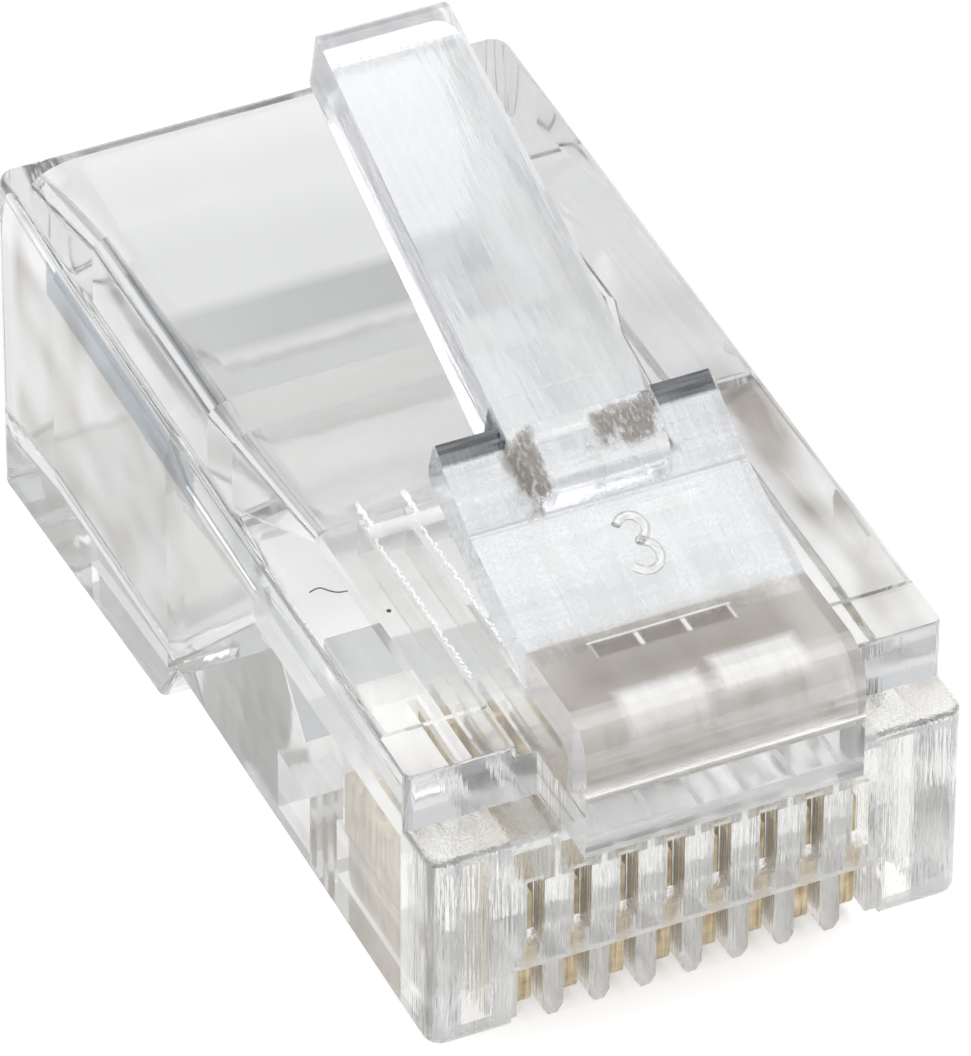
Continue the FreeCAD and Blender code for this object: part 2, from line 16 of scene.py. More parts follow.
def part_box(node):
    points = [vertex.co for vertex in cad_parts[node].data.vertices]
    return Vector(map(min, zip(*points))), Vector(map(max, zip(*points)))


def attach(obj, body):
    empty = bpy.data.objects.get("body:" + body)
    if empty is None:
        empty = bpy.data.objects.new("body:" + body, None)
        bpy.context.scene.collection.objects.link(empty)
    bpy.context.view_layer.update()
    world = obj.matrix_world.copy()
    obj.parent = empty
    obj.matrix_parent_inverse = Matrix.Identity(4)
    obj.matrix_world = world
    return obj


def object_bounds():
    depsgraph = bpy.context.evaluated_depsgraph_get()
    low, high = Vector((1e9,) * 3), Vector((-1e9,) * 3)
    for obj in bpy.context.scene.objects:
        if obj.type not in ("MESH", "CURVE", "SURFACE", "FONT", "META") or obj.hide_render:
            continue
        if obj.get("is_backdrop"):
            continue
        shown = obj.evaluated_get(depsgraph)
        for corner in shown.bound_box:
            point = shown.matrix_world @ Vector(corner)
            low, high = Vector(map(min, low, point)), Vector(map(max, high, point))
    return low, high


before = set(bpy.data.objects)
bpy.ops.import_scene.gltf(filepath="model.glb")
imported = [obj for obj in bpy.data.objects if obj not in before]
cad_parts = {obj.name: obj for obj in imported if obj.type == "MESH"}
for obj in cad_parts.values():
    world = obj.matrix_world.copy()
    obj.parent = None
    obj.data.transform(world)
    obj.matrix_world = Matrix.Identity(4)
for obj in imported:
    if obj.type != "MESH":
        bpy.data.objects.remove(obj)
cad_low, cad_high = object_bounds()
MM = 0.001
scene = bpy.context.scene
print("CAD box in mm:", [round(value / MM, 2) for value in (*cad_low, *cad_high)])

# %% [markdown]
# A drawing of the plug measures back from the nose face and up from the contact side.
# The housing's own box says where the nose face is in the shared frame. The rear part is
# 1.95 mm thicker than the nose, so the contact side stands that much above the frame's
# floor. With those two, every place below is written the way the drawing writes it.

# %% Drawing coordinates
BODY_LENGTH = 22.2
NOSE_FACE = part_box("housing")[1].y / MM - BODY_LENGTH
CONTACT_SIDE = 1.95


def at(x, y, z):
    """A point in metres, from millimetres across, back from the nose and up."""
    return Vector((x, y + NOSE_FACE, z + CONTACT_SIDE)) * MM


print("nose face at y = %.3f mm, contact side at z = %.3f mm" % (NOSE_FACE, CONTACT_SIDE))

# %% [markdown]
# Colours are picked as sRGB hex, as on a colour card, and shaders want linear values, so
# one function converts them. A second one adds a shader node: it sets the node's own
# settings, fills its inputs with values or with links from other nodes, and hands back
# one output to link on from. Everything below is built with those two. A Mix node keeps
# sockets for numbers, vectors and colours under the same names, so its colour sockets are
# picked by their number.

# %% Colour and node helpers
MIX_A, MIX_B, MIX_RESULT = 6, 7, 2


def linear(code):
    """Linear RGBA of an sRGB hex colour such as F4F4F2."""
    shares = [int(code[start:start + 2], 16) / 255 for start in (0, 2, 4)]
    light = [s / 12.92 if s <= 0.04045 else ((s + 0.055) / 1.055) ** 2.4 for s in shares]
    return (*light, 1.0)


def add(tree, kind, *values, named=None, out=0, **settings):
    """Adds one node, fills its inputs in order or by name, and gives one of its outputs."""
    node = tree.nodes.new("ShaderNode" + kind)
    for setting, value in settings.items():
        setattr(node, setting, value)
    for key, value in [*enumerate(values), *(named or {}).items()]:
        if isinstance(value, bpy.types.NodeSocket):
            tree.links.new(value, node.inputs[key])
        else:
            node.inputs[key].default_value = value
    return node.outputs[out] if node.outputs else node


def new_finish(name):
    """An empty material, and its tree to fill."""
    material = bpy.data.materials.new(name)
    material.use_nodes = True
    material.node_tree.nodes.clear()
    return material, material.node_tree


print("mid grey in linear light:", [round(value, 3) for value in linear("808080")])

# %% [markdown]
# A part this small is best seen through a long lens from well back, which keeps its
# edges nearly parallel. The camera stands in front of the nose, a little to one side and
# forty degrees up, and leans by a third of a degree. It aims a hair above the plug's
# middle and to the left of it.

# %% Camera
AZIMUTH = math.radians(-24.73)
ELEVATION = math.radians(39.86)
LEAN = math.radians(0.352)
DISTANCE = 233.88 * MM
SUBJECT = at(0, 10, 3)
AIM_UP, AIM_LEFT = 0.71 * MM, 0.085 * MM
LENS, SENSOR = 390.9, 36.0

back = Vector((math.sin(AZIMUTH) * math.cos(ELEVATION),
               -math.cos(AZIMUTH) * math.cos(ELEVATION),
               math.sin(ELEVATION)))
level = Vector((math.cos(AZIMUTH), math.sin(AZIMUTH), 0))
right = level * math.cos(LEAN) + back.cross(level) * math.sin(LEAN)
stand = SUBJECT + back * DISTANCE
aim = SUBJECT + back.cross(right) * AIM_UP - right * AIM_LEFT
back = (stand - aim).normalized()
right = (right - back * right.dot(back)).normalized()

camera = bpy.data.objects.new("camera", bpy.data.cameras.new("camera"))
camera.data.sensor_width = SENSOR
camera.data.lens = LENS
camera.data.clip_start = 0.01
camera.data.clip_end = 10.0
camera.matrix_world = (Matrix.Translation(stand)
                       @ Matrix((right, back.cross(right), back)).transposed().to_4x4())
scene.collection.objects.link(camera)
scene.camera = camera
scene.view_settings.view_transform = "Standard"
print("camera %.0f mm away with a %.0f mm lens" % (DISTANCE / MM, LENS))

# %% [markdown]
# A ray that crosses this plug meets a surface every millimetre: walls, channels, ribs and
# slits. With the usual limit of a dozen turns many of those rays would end inside, and
# the comb would go dark, which clear plastic never does. So they may turn more often, and
# the lamps' rays may pass more layers on their way in.

# %% Light through many layers
scene.cycles.max_bounces = 32
scene.cycles.transmission_bounces = 32
scene.cycles.glossy_bounces = 8
scene.cycles.transparent_max_bounces = 20
print("a ray may turn", scene.cycles.max_bounces, "times")

# %% [markdown]
# Clear plastic has almost no colour of its own: what the eye sees in it is the room,
# bent and mirrored. So the room matters more than the shader. This one is a pale studio,
# lighter behind the plug, where the softbox lights the wall, and a little darker on the
# camera's side. Black flags, as a studio hangs beside glass, stand in two
# directions, and the facets that mirror them turn grey. That is what draws the edges.

# %% Room
ROOM = ((0.0, "9F9A95"), (0.3, "BDBAB7"), (0.55, "CCCDCE"), (0.8, "D2D5D9"), (1.0, "D8DBE0"))
ROOM_AXIS, ROOM_MIDDLE = (-0.1, 0.45, 0.12), 0.5
FLAG_DIRECTIONS = ((-0.5, 0.6, 0.6), (0.53, -0.53, 0.66))
FLAG_CORE, FLAG_RIM = (math.cos(math.radians(degrees)) for degrees in (8, 24))
FLAG_SHADE = 0.3
world = bpy.data.worlds.new("studio_room")
world.use_nodes = True
scene.world = world
tree = world.node_tree
tree.nodes.clear()
towards = add(tree, "TexCoord", out="Generated")
depth = add(tree, "VectorMath", towards, ROOM_AXIS, out="Value", operation="DOT_PRODUCT")
room_light = add(tree, "ValToRGB", add(tree, "Math", depth, ROOM_MIDDLE))
stops = room_light.node.color_ramp.elements
for number, (position, tone) in enumerate(ROOM):
    stop = stops[number] if number < 2 else stops.new(position)
    stop.position = position
    stop.color = linear(tone)
for direction in FLAG_DIRECTIONS:
    facing = add(tree, "VectorMath", towards, Vector(direction).normalized(), out="Value",
                 operation="DOT_PRODUCT")
    share = add(tree, "MapRange", facing, FLAG_RIM, FLAG_CORE, 1.0, FLAG_SHADE,
                interpolation_type="SMOOTHSTEP")
    room_light = add(tree, "VectorMath", room_light, share, operation="MULTIPLY")
add(tree, "OutputWorld", add(tree, "Background", room_light))
print("room tones from front to back:", [tone for position, tone in ROOM])

# %% [markdown]
# Two large softboxes light the plug. The key hangs above it, a little to the right and
# behind, where the sloping latch mirrors it towards the camera as a soft white veil. The
# fill stands low in front and reaches into the comb.

# %% Softboxes
def softbox(name, towards, distance, width, height, radiance):
    """A rectangular lamp in a direction from the plug, as bright as asked per unit area."""
    lamp = bpy.data.objects.new(name, bpy.data.lights.new(name, "AREA"))
    lamp.data.shape = "RECTANGLE"
    lamp.data.size = width
    lamp.data.size_y = height
    lamp.data.energy = radiance * math.pi * width * height
    lamp.location = SUBJECT + Vector(towards).normalized() * distance
    lamp.rotation_euler = (SUBJECT - lamp.location).to_track_quat("-Z", "Y").to_euler()
    scene.collection.objects.link(lamp)
    print("%s: %.2f W over %.0f by %.0f mm" % (name, lamp.data.energy, width / MM, height / MM))


softbox("key_softbox", (0.32, 0.15, 0.93), distance=0.27, width=0.26, height=0.26, radiance=1.65)
softbox("fill_softbox", (-0.35, -0.8, 0.42), distance=0.25, width=0.2, height=0.12, radiance=2.4)

# %% [markdown]
# Finishes on a moulding change from face to face, because each face copies the steel it
# was moulded against. The shaders therefore need to know where on the plug they are. One
# helper turns a shader's position into the drawing's millimetres, and another marks a
# block of the plug from them: 1 inside it and 0 outside, with a soft edge. A third makes
# irregular marks of a size that is also written in millimetres.

# %% Regions of the plug
def drawing_place(tree):
    """The shaded point in the drawing's millimetres."""
    return add(tree, "VectorMath", add(tree, "TexCoord", out="Object"), (1 / MM,) * 3,
               (0, -NOSE_FACE, -CONTACT_SIDE), operation="MULTIPLY_ADD")


def region(tree, place, low, high, edge=0.03):
    """1 inside a block of the drawing between two corners, fading to 0 over its edge."""
    middle = [(start + end) / 2 for start, end in zip(low, high)]
    half = [(end - start) / 2 for start, end in zip(low, high)]
    away = add(tree, "VectorMath", add(tree, "VectorMath", place, middle, operation="SUBTRACT"),
               operation="ABSOLUTE")
    past = add(tree, "VectorMath", away, half, operation="SUBTRACT")
    split = add(tree, "SeparateXYZ", past).node.outputs
    furthest = add(tree, "Math", split["X"], split["Y"], operation="MAXIMUM")
    furthest = add(tree, "Math", furthest, split["Z"], operation="MAXIMUM")
    return add(tree, "MapRange", furthest, edge, -edge, 0.0, 1.0)


def grain(tree, place, size, detail=2.0):
    """Irregular marks that measure so many millimetres across, along and up."""
    per_mm = [1 / length for length in size]
    stretched = add(tree, "VectorMath", place, per_mm, operation="MULTIPLY")
    return add(tree, "TexNoise", stretched, named={"Scale": 1.0, "Detail": detail})


print("regions are in mm: x across, y back from the nose, z up from the contact side")

# %% [markdown]
# The plug does not lie level: its rear part is thicker, so it rests on the edge of that
# step and on the feet of its comb, with the nose dipped about five degrees. The plug
# stays as drawn and the white card takes that slope under it instead, then runs out
# level again.

# %% White card
CARD = ((-600, -2.2), (-80, -2.2), (0.25, -0.21), (13.6, -1.405), (22.2, -2.17), (600, -2.2))
CARD_SIDE = 500
mesh = bpy.data.meshes.new("white_card")
shape = bmesh.new()
for y, z in CARD:
    for x in (-CARD_SIDE, CARD_SIDE):
        shape.verts.new(at(x, y, z))
shape.verts.ensure_lookup_table()
for row in range(len(CARD) - 1):
    shape.faces.new([shape.verts[2 * row + corner] for corner in (0, 1, 3, 2)])
shape.to_mesh(mesh)
shape.free()
card = bpy.data.objects.new("white_card", mesh)
scene.collection.objects.link(card)
card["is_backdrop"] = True
print("card drawn in", len(mesh.polygons), "strips")

# %% [markdown]
# The card is matt paper, felted from fibres, and its clouds of fibres are about a
# millimetre wide. A little glow of its own brings it to plain white where no shadow
# falls, for the eye, for mirrors and for what is seen through the plug. Lamps are let
# through clear plastic here, so the soft, slightly cloudy shade that the plug does leave
# under its body and behind its mouth is drawn in the card.

# %% Matt white card
CARD_GLOW = 0.355
PAPER_WHITE = 0.8
PAPER_CLOUDS_PER_METRE = 900.0
SHADE_CLOUDS, SHADE_BASE = 0.1, 0.14
card_finish, tree = new_finish("matt_white_card")
ray = add(tree, "LightPath").node.outputs
seen = add(tree, "Math", ray["Is Glossy Ray"], ray["Is Transmission Ray"], operation="MAXIMUM")
seen = add(tree, "Math", ray["Is Camera Ray"], seen, operation="MAXIMUM")
fibres = add(tree, "TexNoise", add(tree, "TexCoord", out="Object"),
             named={"Scale": PAPER_CLOUDS_PER_METRE, "Detail": 4.0})
fibres = add(tree, "Bump", named={"Height": fibres, "Distance": 0.02 * MM, "Strength": 0.4})
place = drawing_place(tree)
under_body = region(tree, place, (-5.0, 9.5, -5), (9.6, 29.0, 5), 2.0)
shade = add(tree, "Math", grain(tree, place, (3.0, 3.0, 9.0), 1.0), SHADE_CLOUDS, SHADE_BASE,
            operation="MULTIPLY_ADD")
shade = add(tree, "Math", under_body, shade, operation="MULTIPLY")
lit = add(tree, "Mix", shade, named={MIX_A: linear("FFFFFF"), MIX_B: linear("000000")},
          out=MIX_RESULT, data_type="RGBA")
tone = add(tree, "VectorMath", lit, (PAPER_WHITE,) * 3, operation="MULTIPLY")
paper = add(tree, "BsdfDiffuse", tone, named={"Normal": fibres})
glow = add(tree, "MixShader", seen, add(tree, "Emission", (0, 0, 0, 1), 0.0),
           add(tree, "Emission", lit, CARD_GLOW))
add(tree, "OutputMaterial", add(tree, "AddShader", paper, glow))
mesh.materials.append(card_finish)
print("card: paper of %.0f %% white, glow %.3f" % (100 * PAPER_WHITE, CARD_GLOW))

# %% [markdown]
# **Polycarbonate, injection moulded.** It is glass clear with an index of 1.585, higher
# than window glass, which is why its edges flash. Lamps are let straight through, or the
# plug would throw a black shadow that clear plastic doesn't. `milk` is the share of
# light that a rough skin scatters instead of passing on, and `height` is in millimetres.

# %% Polycarbonate shader
PLASTIC_INDEX = 1.585
PASSED_LIGHT = (0.98, 0.98, 0.98, 1)


def polycarbonate(tree, tint, roughness, milk, height):
    """Clear plastic whose tint, roughness, milk and relief may differ from place to place."""
    relief = add(tree, "Bump", named={"Height": height, "Distance": MM, "Strength": 1.0})
    clear = add(tree, "Math", 1.0, milk, operation="SUBTRACT")
    plastic = add(tree, "BsdfPrincipled", named={
        "Base Color": tint, "Roughness": roughness, "IOR": PLASTIC_INDEX,
        "Transmission Weight": clear, "Normal": relief})
    ray = add(tree, "LightPath").node.outputs
    lit_ray = add(tree, "Math", ray["Is Shadow Ray"], ray["Is Diffuse Ray"], operation="MAXIMUM")
    gap = add(tree, "BsdfTransparent", PASSED_LIGHT)
    add(tree, "OutputMaterial", add(tree, "MixShader", lit_ray, plastic, gap))


print("polycarbonate: index", PLASTIC_INDEX)

# %% [markdown]
# The housing's outside copied polished steel. The hollow inside copied long core pins,
# which are drawn out of the moulding and stay less polished, so what shows through the
# cavity is softened. The comb at the nose was moulded in thin spark-eroded slots and
# looks a little milky, as do the thin walls between the wire channels.

# %% Regions of the housing
CHANNEL_PITCH = 1.016
clear_finish, tree = new_finish("clear_polycarbonate")
place = drawing_place(tree)
comb = region(tree, place, (-4.3, -0.3, -0.3), (4.3, 5.7, 1.55), 0.1)
root = region(tree, place, (-3.03, -0.5, 4.75), (3.03, 1.6, 9.0))
cavity = region(tree, place, (-5.05, 0.04, 0.04), (5.05, 13.0, 5.75), 0.01)
rear_cavity = region(tree, place, (-5.05, 13.0, -1.2), (5.05, 22.15, 5.75), 0.01)
core = add(tree, "Math", cavity, rear_cavity, operation="MAXIMUM")
nose = region(tree, place, (-6.0, -0.3, -0.5), (6.0, 0.9, 6.4), 0.4)
axes = add(tree, "SeparateXYZ", place).node.outputs
off_wall = add(tree, "Math", axes["X"], CHANNEL_PITCH / 2, operation="PINGPONG")
by_wall = add(tree, "CombineXYZ", off_wall, axes["Y"], axes["Z"])
walls = region(tree, by_wall, (-0.1, 2.8, 3.3), (0.1, 9.8, 4.15), 0.02)
print("housing: comb, root, core, nose and channel walls marked")

# %% [markdown]
# The skin has fine relief. The nose carries upright lines, like ground steel, drawn at
# 0.07 mm so that they show. The whole housing waves very slightly over two millimetres,
# and faint streaks run along it, the way the plastic flowed.

# %% Marks on the housing
GRIND_DEPTH, WAVE_DEPTH, FLOW_DEPTH = 0.03, 0.006, 0.007
grind = grain(tree, place, (0.07, 0.07, 1.6), 2.0)
wave = grain(tree, place, (2.0, 2.0, 2.0), 0.0)
flow = grain(tree, place, (0.9, 5.0, 1.6), 1.0)
height = add(tree, "Math", wave, WAVE_DEPTH, operation="MULTIPLY")
height = add(tree, "Math", add(tree, "Math", grind, nose, operation="MULTIPLY"), GRIND_DEPTH,
             height, operation="MULTIPLY_ADD")
height = add(tree, "Math", flow, FLOW_DEPTH, height, operation="MULTIPLY_ADD")
print("housing: marks up to %.3f mm deep" % GRIND_DEPTH)

# %% [markdown]
# Towards the rear, and along its outer sides, the plug is painted greyer: painted shade
# for the shadow that shows through it. Light also draws shades inside it: dark strips
# along the tops of the side walls, outside and inside, a band across the cavity's
# ceiling, and soft smudges on the side walls. On a real plug that happens inside the
# plastic. Here they are painted shade, drawn on its skin as a tint.

# %% Shades inside the housing
off_middle = add(tree, "Math", axes["X"], operation="ABSOLUTE")
mirrored = add(tree, "CombineXYZ", off_middle, axes["Y"], axes["Z"])
# Painted shade: the greyer rear and the greyer outer sides.
rear_shade = region(tree, place, (-7.0, 9.0, -3.0), (7.0, 24.0, 8.0), 1.0)
flank_shade = region(tree, mirrored, (5.6, 3.0, -3.0), (6.5, 24.0, 6.1), 0.25)
wall_tops = region(tree, mirrored, (5.7, 11.6, 5.15), (6.1, 19.3, 6.15), 0.05)
inner_tops = region(tree, mirrored, (4.3, 12.6, 4.5), (5.3, 18.6, 5.9), 0.25)
inner_tops = add(tree, "Math", inner_tops, add(tree, "MapRange", flow, 0.35, 0.6, 0.1, 1.0),
                 operation="MULTIPLY")
side_wall_shade = region(tree, mirrored, (4.4, 3.0, -1.5), (5.5, 21.6, 6.0), 0.2)
# Painted shade in soft smudges on the side walls.
smudged_shade = add(tree, "MapRange", grain(tree, place, (1.5, 2.6, 1.9), 1.0), 0.4, 0.68, 0.0, 1.0)
side_wall_shade = add(tree, "Math", side_wall_shade, smudged_shade, operation="MULTIPLY")
ceiling_band = region(tree, place, (-5.3, 15.1, 4.9), (2.5, 16.7, 6.0), 0.22)
ceiling_band = add(tree, "Math", ceiling_band,
                   add(tree, "MapRange", axes["X"], -5.0, 2.4, 0.6, 1.0), operation="MULTIPLY")
print("housing: greyer rear, side walls, their tops and the band across the ceiling marked")

# %% [markdown]
# Now the shader gets its four inputs. Each region pulls the tint towards its own colour,
# and adds its share of roughness and of milk.

# %% Clear housing
CLEAR, SKIN_ROUGHNESS, SKIN_MILK = "FCFCFA", 0.03, 0.04
# All tints below except those of the comb and the root are painted shade: the greyer rear and
# sides, the band across the ceiling, the smudges on the side walls and the dark strips along their
# tops.
HOUSING_TINTS = ((comb, "FEFCF9"), (rear_shade, "ECECEB"), (root, "E2DEDA"), (flank_shade, "DEDEDC"),
                 (ceiling_band, "949494"), (side_wall_shade, "82766A"), (inner_tops, "6A6A6C"),
                 (wall_tops, "76848F"))
tint = linear(CLEAR)
for where, colour in HOUSING_TINTS:
    tint = add(tree, "Mix", where, named={MIX_A: tint, MIX_B: linear(colour)},
               out=MIX_RESULT, data_type="RGBA")
roughness = SKIN_ROUGHNESS
for where, share in ((core, 0.05), (root, 0.06)):
    roughness = add(tree, "Math", where, share, roughness, operation="MULTIPLY_ADD")
milk = SKIN_MILK
for where, share in ((comb, 0.1), (root, 0.04), (walls, 0.15)):
    milk = add(tree, "Math", where, share, milk, operation="MULTIPLY_ADD")
polycarbonate(tree, tint, roughness, milk, height)
print("housing: polished skin in", len(HOUSING_TINTS) + 1, "tints")

# %% [markdown]
# The strain relief bar is the same plastic, moulded in a corner of the tool that nobody
# polishes. Spark erosion left it evenly matt, with craters of about 0.03 mm, drawn here
# at 0.1 mm so that they still show.

# %% Spark-eroded strain relief bar
CRATER_DEPTH, CRATER_MILK, BAR_MILK, BAR_ROUGHNESS = 0.01, 0.12, 0.06, 0.22
bar_finish, tree = new_finish("spark_eroded_polycarbonate")
craters = grain(tree, drawing_place(tree), (0.1, 0.1, 0.1), 2.0)
height = add(tree, "Math", craters, CRATER_DEPTH, operation="MULTIPLY")
milk = add(tree, "Math", craters, CRATER_MILK, BAR_MILK, operation="MULTIPLY_ADD")
polycarbonate(tree, linear("E8E8E6"), BAR_ROUGHNESS, milk, height)
print("strain relief bar: craters %.2f mm deep" % CRATER_DEPTH)

# %% [markdown]
# The latch is the same plastic again, and each of its parts looks different: the plate
# and its shoulders, the lever with its tip, and the bend. The foot of the lever has had a
# harder life: the tool pulls off a little skin there on both sides. The rear edges of the
# shoulders carry a painted dark reflection. A fine crease crosses the plate in front of
# the lever.

# %% Regions of the latch
LEVER_SLOPE, LEVER_BASE = 0.571, 6.51
latch_finish, tree = new_finish("frosted_polycarbonate")
place = drawing_place(tree)
axes = add(tree, "SeparateXYZ", place).node.outputs
off_middle = add(tree, "Math", axes["X"], operation="ABSOLUTE")
mirrored = add(tree, "CombineXYZ", off_middle, axes["Y"], axes["Z"])
under_lever = add(tree, "Math", axes["Y"], LEVER_SLOPE, LEVER_BASE, operation="MULTIPLY_ADD")
below_lever = add(tree, "Math", axes["Z"], under_lever, operation="LESS_THAN")
plate = region(tree, mirrored, (-1.0, 1.72, 5.0), (3.2, 6.6, 12.0), 0.01)
shoulder = region(tree, mirrored, (1.84, 1.72, 5.0), (3.2, 6.6, 12.0), 0.01)
beside_lever = add(tree, "Math", below_lever, shoulder, operation="MAXIMUM")
plate = add(tree, "Math", plate, beside_lever, operation="MULTIPLY")
bend = region(tree, place, (-3.2, -0.5, 5.5), (3.2, 1.72, 9.0), 0.05)
tip = region(tree, place, (-2.0, 15.0, 9.0), (2.0, 17.0, 17.0), 0.3)
# The shoulders' rear edges, which carry a painted dark reflection (called closing edges in the
# print below).
shoulder_edge_reflection = region(tree, mirrored, (1.62, 5.75, 9.0), (2.99, 6.6, 12.0), 0.02)
torn_left = region(tree, place, (-1.9, 4.2, 8.6), (-0.95, 6.0, 10.3), 0.3)
torn_right = region(tree, place, (0.0, 4.75, 8.6), (1.9, 5.95, 10.3), 0.3)
torn = add(tree, "Math", torn_left, torn_right, operation="MAXIMUM")
crease = region(tree, place, (-3.2, 4.33, 8.5), (3.2, 4.42, 9.6), 0.03)
print("latch: plate, bend, tip, closing edges, torn skin and crease marked")

# %% [markdown]
# The bend is cloudy. The ends of the wire channels show through it only as a ladder of
# small squares, one channel pitch apart, and in front of them are two bright facets where
# light comes up through the nose. Both are painted on the bend's skin: the darker zone
# over the channels and the squares are painted shade, the ladder's frame and the two
# facets are painted highlights.

# %% Bend of the latch
FIRST_RUNG = 0.2
# Painted shade: the channels seen through the bend, in a darker zone and a ladder of squares.
shade_over_channels = region(tree, place, (-2.6, 0.1, 7.8), (2.2, 1.72, 9.0), 0.3)
ladder_shade = region(tree, place, (-1.8, 1.0, 7.8), (1.22, 1.42, 9.0), 0.04)
off_rung = add(tree, "Math", axes["X"], FIRST_RUNG, operation="SUBTRACT")
off_rung = add(tree, "Math", off_rung, CHANNEL_PITCH / 2, operation="PINGPONG")
rungs = add(tree, "MapRange", off_rung, 0.08, 0.03, 0.0, 1.0)
rail = region(tree, place, (-1.84, 1.44, 7.8), (1.26, 1.5, 9.0), 0.03)
ladder_highlight = add(tree, "Math", rungs, ladder_shade, rail, operation="MULTIPLY_ADD")
# Painted highlights: light coming up through the nose, and along the ladder's frame.
highlight_left = region(tree, place, (-2.0, -1.02, 7.55), (-0.25, -0.1, 9.0), 0.12)
highlight_right = region(tree, place, (0.1, -0.8, 7.7), (1.95, 0.12, 9.0), 0.12)
painted_highlight = add(tree, "Math", highlight_left, highlight_right, operation="MAXIMUM")
painted_highlight = add(tree, "Math", painted_highlight, ladder_highlight, operation="MAXIMUM")
panel = region(tree, place, (0.1, -1.3, 6.4), (1.9, -0.7, 7.6), 0.12)
print("bend: rungs every", CHANNEL_PITCH, "mm")

# %% [markdown]
# The plate was moulded against steel stoned in two directions, which leaves a thin white
# veil and a fine square grain, drawn at 0.12 mm, coarse enough to show. The lever carries
# faint lengthwise streaks. The torn skin is speckled, and the painted dark reflection on
# the shoulders' rear edges is striped like slate.

# %% Marks on the latch
STONED_DEPTH, LEVER_DEPTH, SKIN_DEPTH, CREASE_DEPTH, SPECKLE_DEPTH = 0.006, 0.001, 0.007, 0.02, 0.06
along = grain(tree, place, (0.12, 1.6, 1.6))
crosswise = grain(tree, place, (2.0, 0.14, 0.14))
speckle = grain(tree, place, (0.07, 0.16, 0.16), 3.0)
blotch = grain(tree, place, (0.5, 0.8, 0.8), 3.0)
drawn_skin = grain(tree, place, (0.22, 3.0, 1.5), 3.0)
stoned = add(tree, "Math", along, crosswise)
scar = add(tree, "Math", torn, blotch, -0.1, operation="MULTIPLY_ADD")
scar = add(tree, "MapRange", scar, 0.24, 0.38, 0.0, 1.0)
for fading in (add(tree, "MapRange", speckle, 0.3, 0.52, 0.5, 1.0), torn):
    scar = add(tree, "Math", scar, fading, operation="MULTIPLY")
# Painted dark reflection on the shoulders' rear edges, striped like slate.
painted_dark_reflection = add(tree, "Math", shoulder_edge_reflection, add(tree, "MapRange", crosswise, 0.35, 0.6, 0.75, 1.0),
            operation="MULTIPLY")
height = add(tree, "Math", plate, STONED_DEPTH, LEVER_DEPTH, operation="MULTIPLY_ADD")
height = add(tree, "Math", stoned, height, operation="MULTIPLY")
for mark, depth in ((drawn_skin, SKIN_DEPTH), (crease, -CREASE_DEPTH),
                    (add(tree, "Math", speckle, scar, operation="MULTIPLY"), SPECKLE_DEPTH)):
    height = add(tree, "Math", mark, depth, height, operation="MULTIPLY_ADD")
print("latch: scars up to %.2f mm deep" % SPECKLE_DEPTH)

# %% [markdown]
# The same four inputs again, region by region. Where regions overlap their milk adds up,
# so it is stopped just short of 1.

# %% Frosted latch
LEVER_CLEAR, LEVER_ROUGHNESS, MOST_MILK = "F4F5F7", 0.08, 0.95
# Of these tints, the darker zone over the channels and the ladder are painted shade, the white one
# is painted highlight, and the slate one is a painted dark reflection.
LATCH_TINTS = ((plate, "EFF1F4"), (bend, "D6D1CC"), (shade_over_channels, "B0AAA4"),
               (ladder_shade, "857D75"), (painted_highlight, "FFFFFF"), (scar, "8A8178"), (painted_dark_reflection, "2E353C"))
tint = linear(LEVER_CLEAR)
for where, colour in LATCH_TINTS:
    tint = add(tree, "Mix", where, named={MIX_A: tint, MIX_B: linear(colour)},
               out=MIX_RESULT, data_type="RGBA")
roughness = LEVER_ROUGHNESS
for where, share in ((plate, 0.14), (bend, 0.12), (scar, 0.3)):
    roughness = add(tree, "Math", where, share, roughness, operation="MULTIPLY_ADD")
veil = add(tree, "MapRange", stoned, 0.8, 1.2, 0.04, 0.3)
milk = add(tree, "MapRange", drawn_skin, 0.42, 0.62, 0.02, 0.1)
for where, share in ((plate, veil), (tip, 0.14), (bend, 0.14), (panel, 0.12), (painted_highlight, 0.4),
                     (scar, 0.55), (painted_dark_reflection, 0.5)):
    milk = add(tree, "Math", where, share, milk, operation="MULTIPLY_ADD")
milk = add(tree, "Math", milk, MOST_MILK, operation="MINIMUM")
polycarbonate(tree, tint, roughness, milk, height)
print("latch: stoned plate, polished lever, cloudy bend in", len(LATCH_TINTS) + 1, "tints")

# %% [markdown]
# **Gold-plated phosphor bronze.** The contacts are stamped from strip, so their edges
# carry upright shear lines, and the plating over them is thin and satin: pale gold where
# it faces the light, browner where the tool tore the strip. Gold keeps the metal shader's
# default index. The lines are about 0.02 mm wide on the real ones and drawn at 0.06 mm.

# %% Gold-plated contacts
SHEAR_WEAR, CLOUD_WEAR = 0.6, 0.5
gold_finish, tree = new_finish("gold_plated_bronze")
place = drawing_place(tree)
shear = grain(tree, place, (0.06, 0.06, 1.8), 3.0)
cloud = grain(tree, place, (0.5, 0.5, 0.35), 2.0)
wear = add(tree, "Math", cloud, CLOUD_WEAR, operation="MULTIPLY")
wear = add(tree, "Math", shear, SHEAR_WEAR, wear, operation="MULTIPLY_ADD")
tint = add(tree, "Mix", add(tree, "MapRange", wear, 0.38, 0.68, 0.0, 1.0),
           named={MIX_A: linear("9A8568"), MIX_B: linear("E2D3B2")}, out=MIX_RESULT,
           data_type="RGBA")
relief = add(tree, "Bump", named={"Height": shear, "Distance": 0.01 * MM, "Strength": 1.0})
metal = add(tree, "BsdfPrincipled", named={
    "Base Color": tint, "Metallic": 0.5, "Roughness": 0.42, "Normal": relief})
add(tree, "OutputMaterial", metal)
print("contacts: satin gold over upright shear lines")

# %% [markdown]
# The CAD nodes keep their shapes and only change clothes.

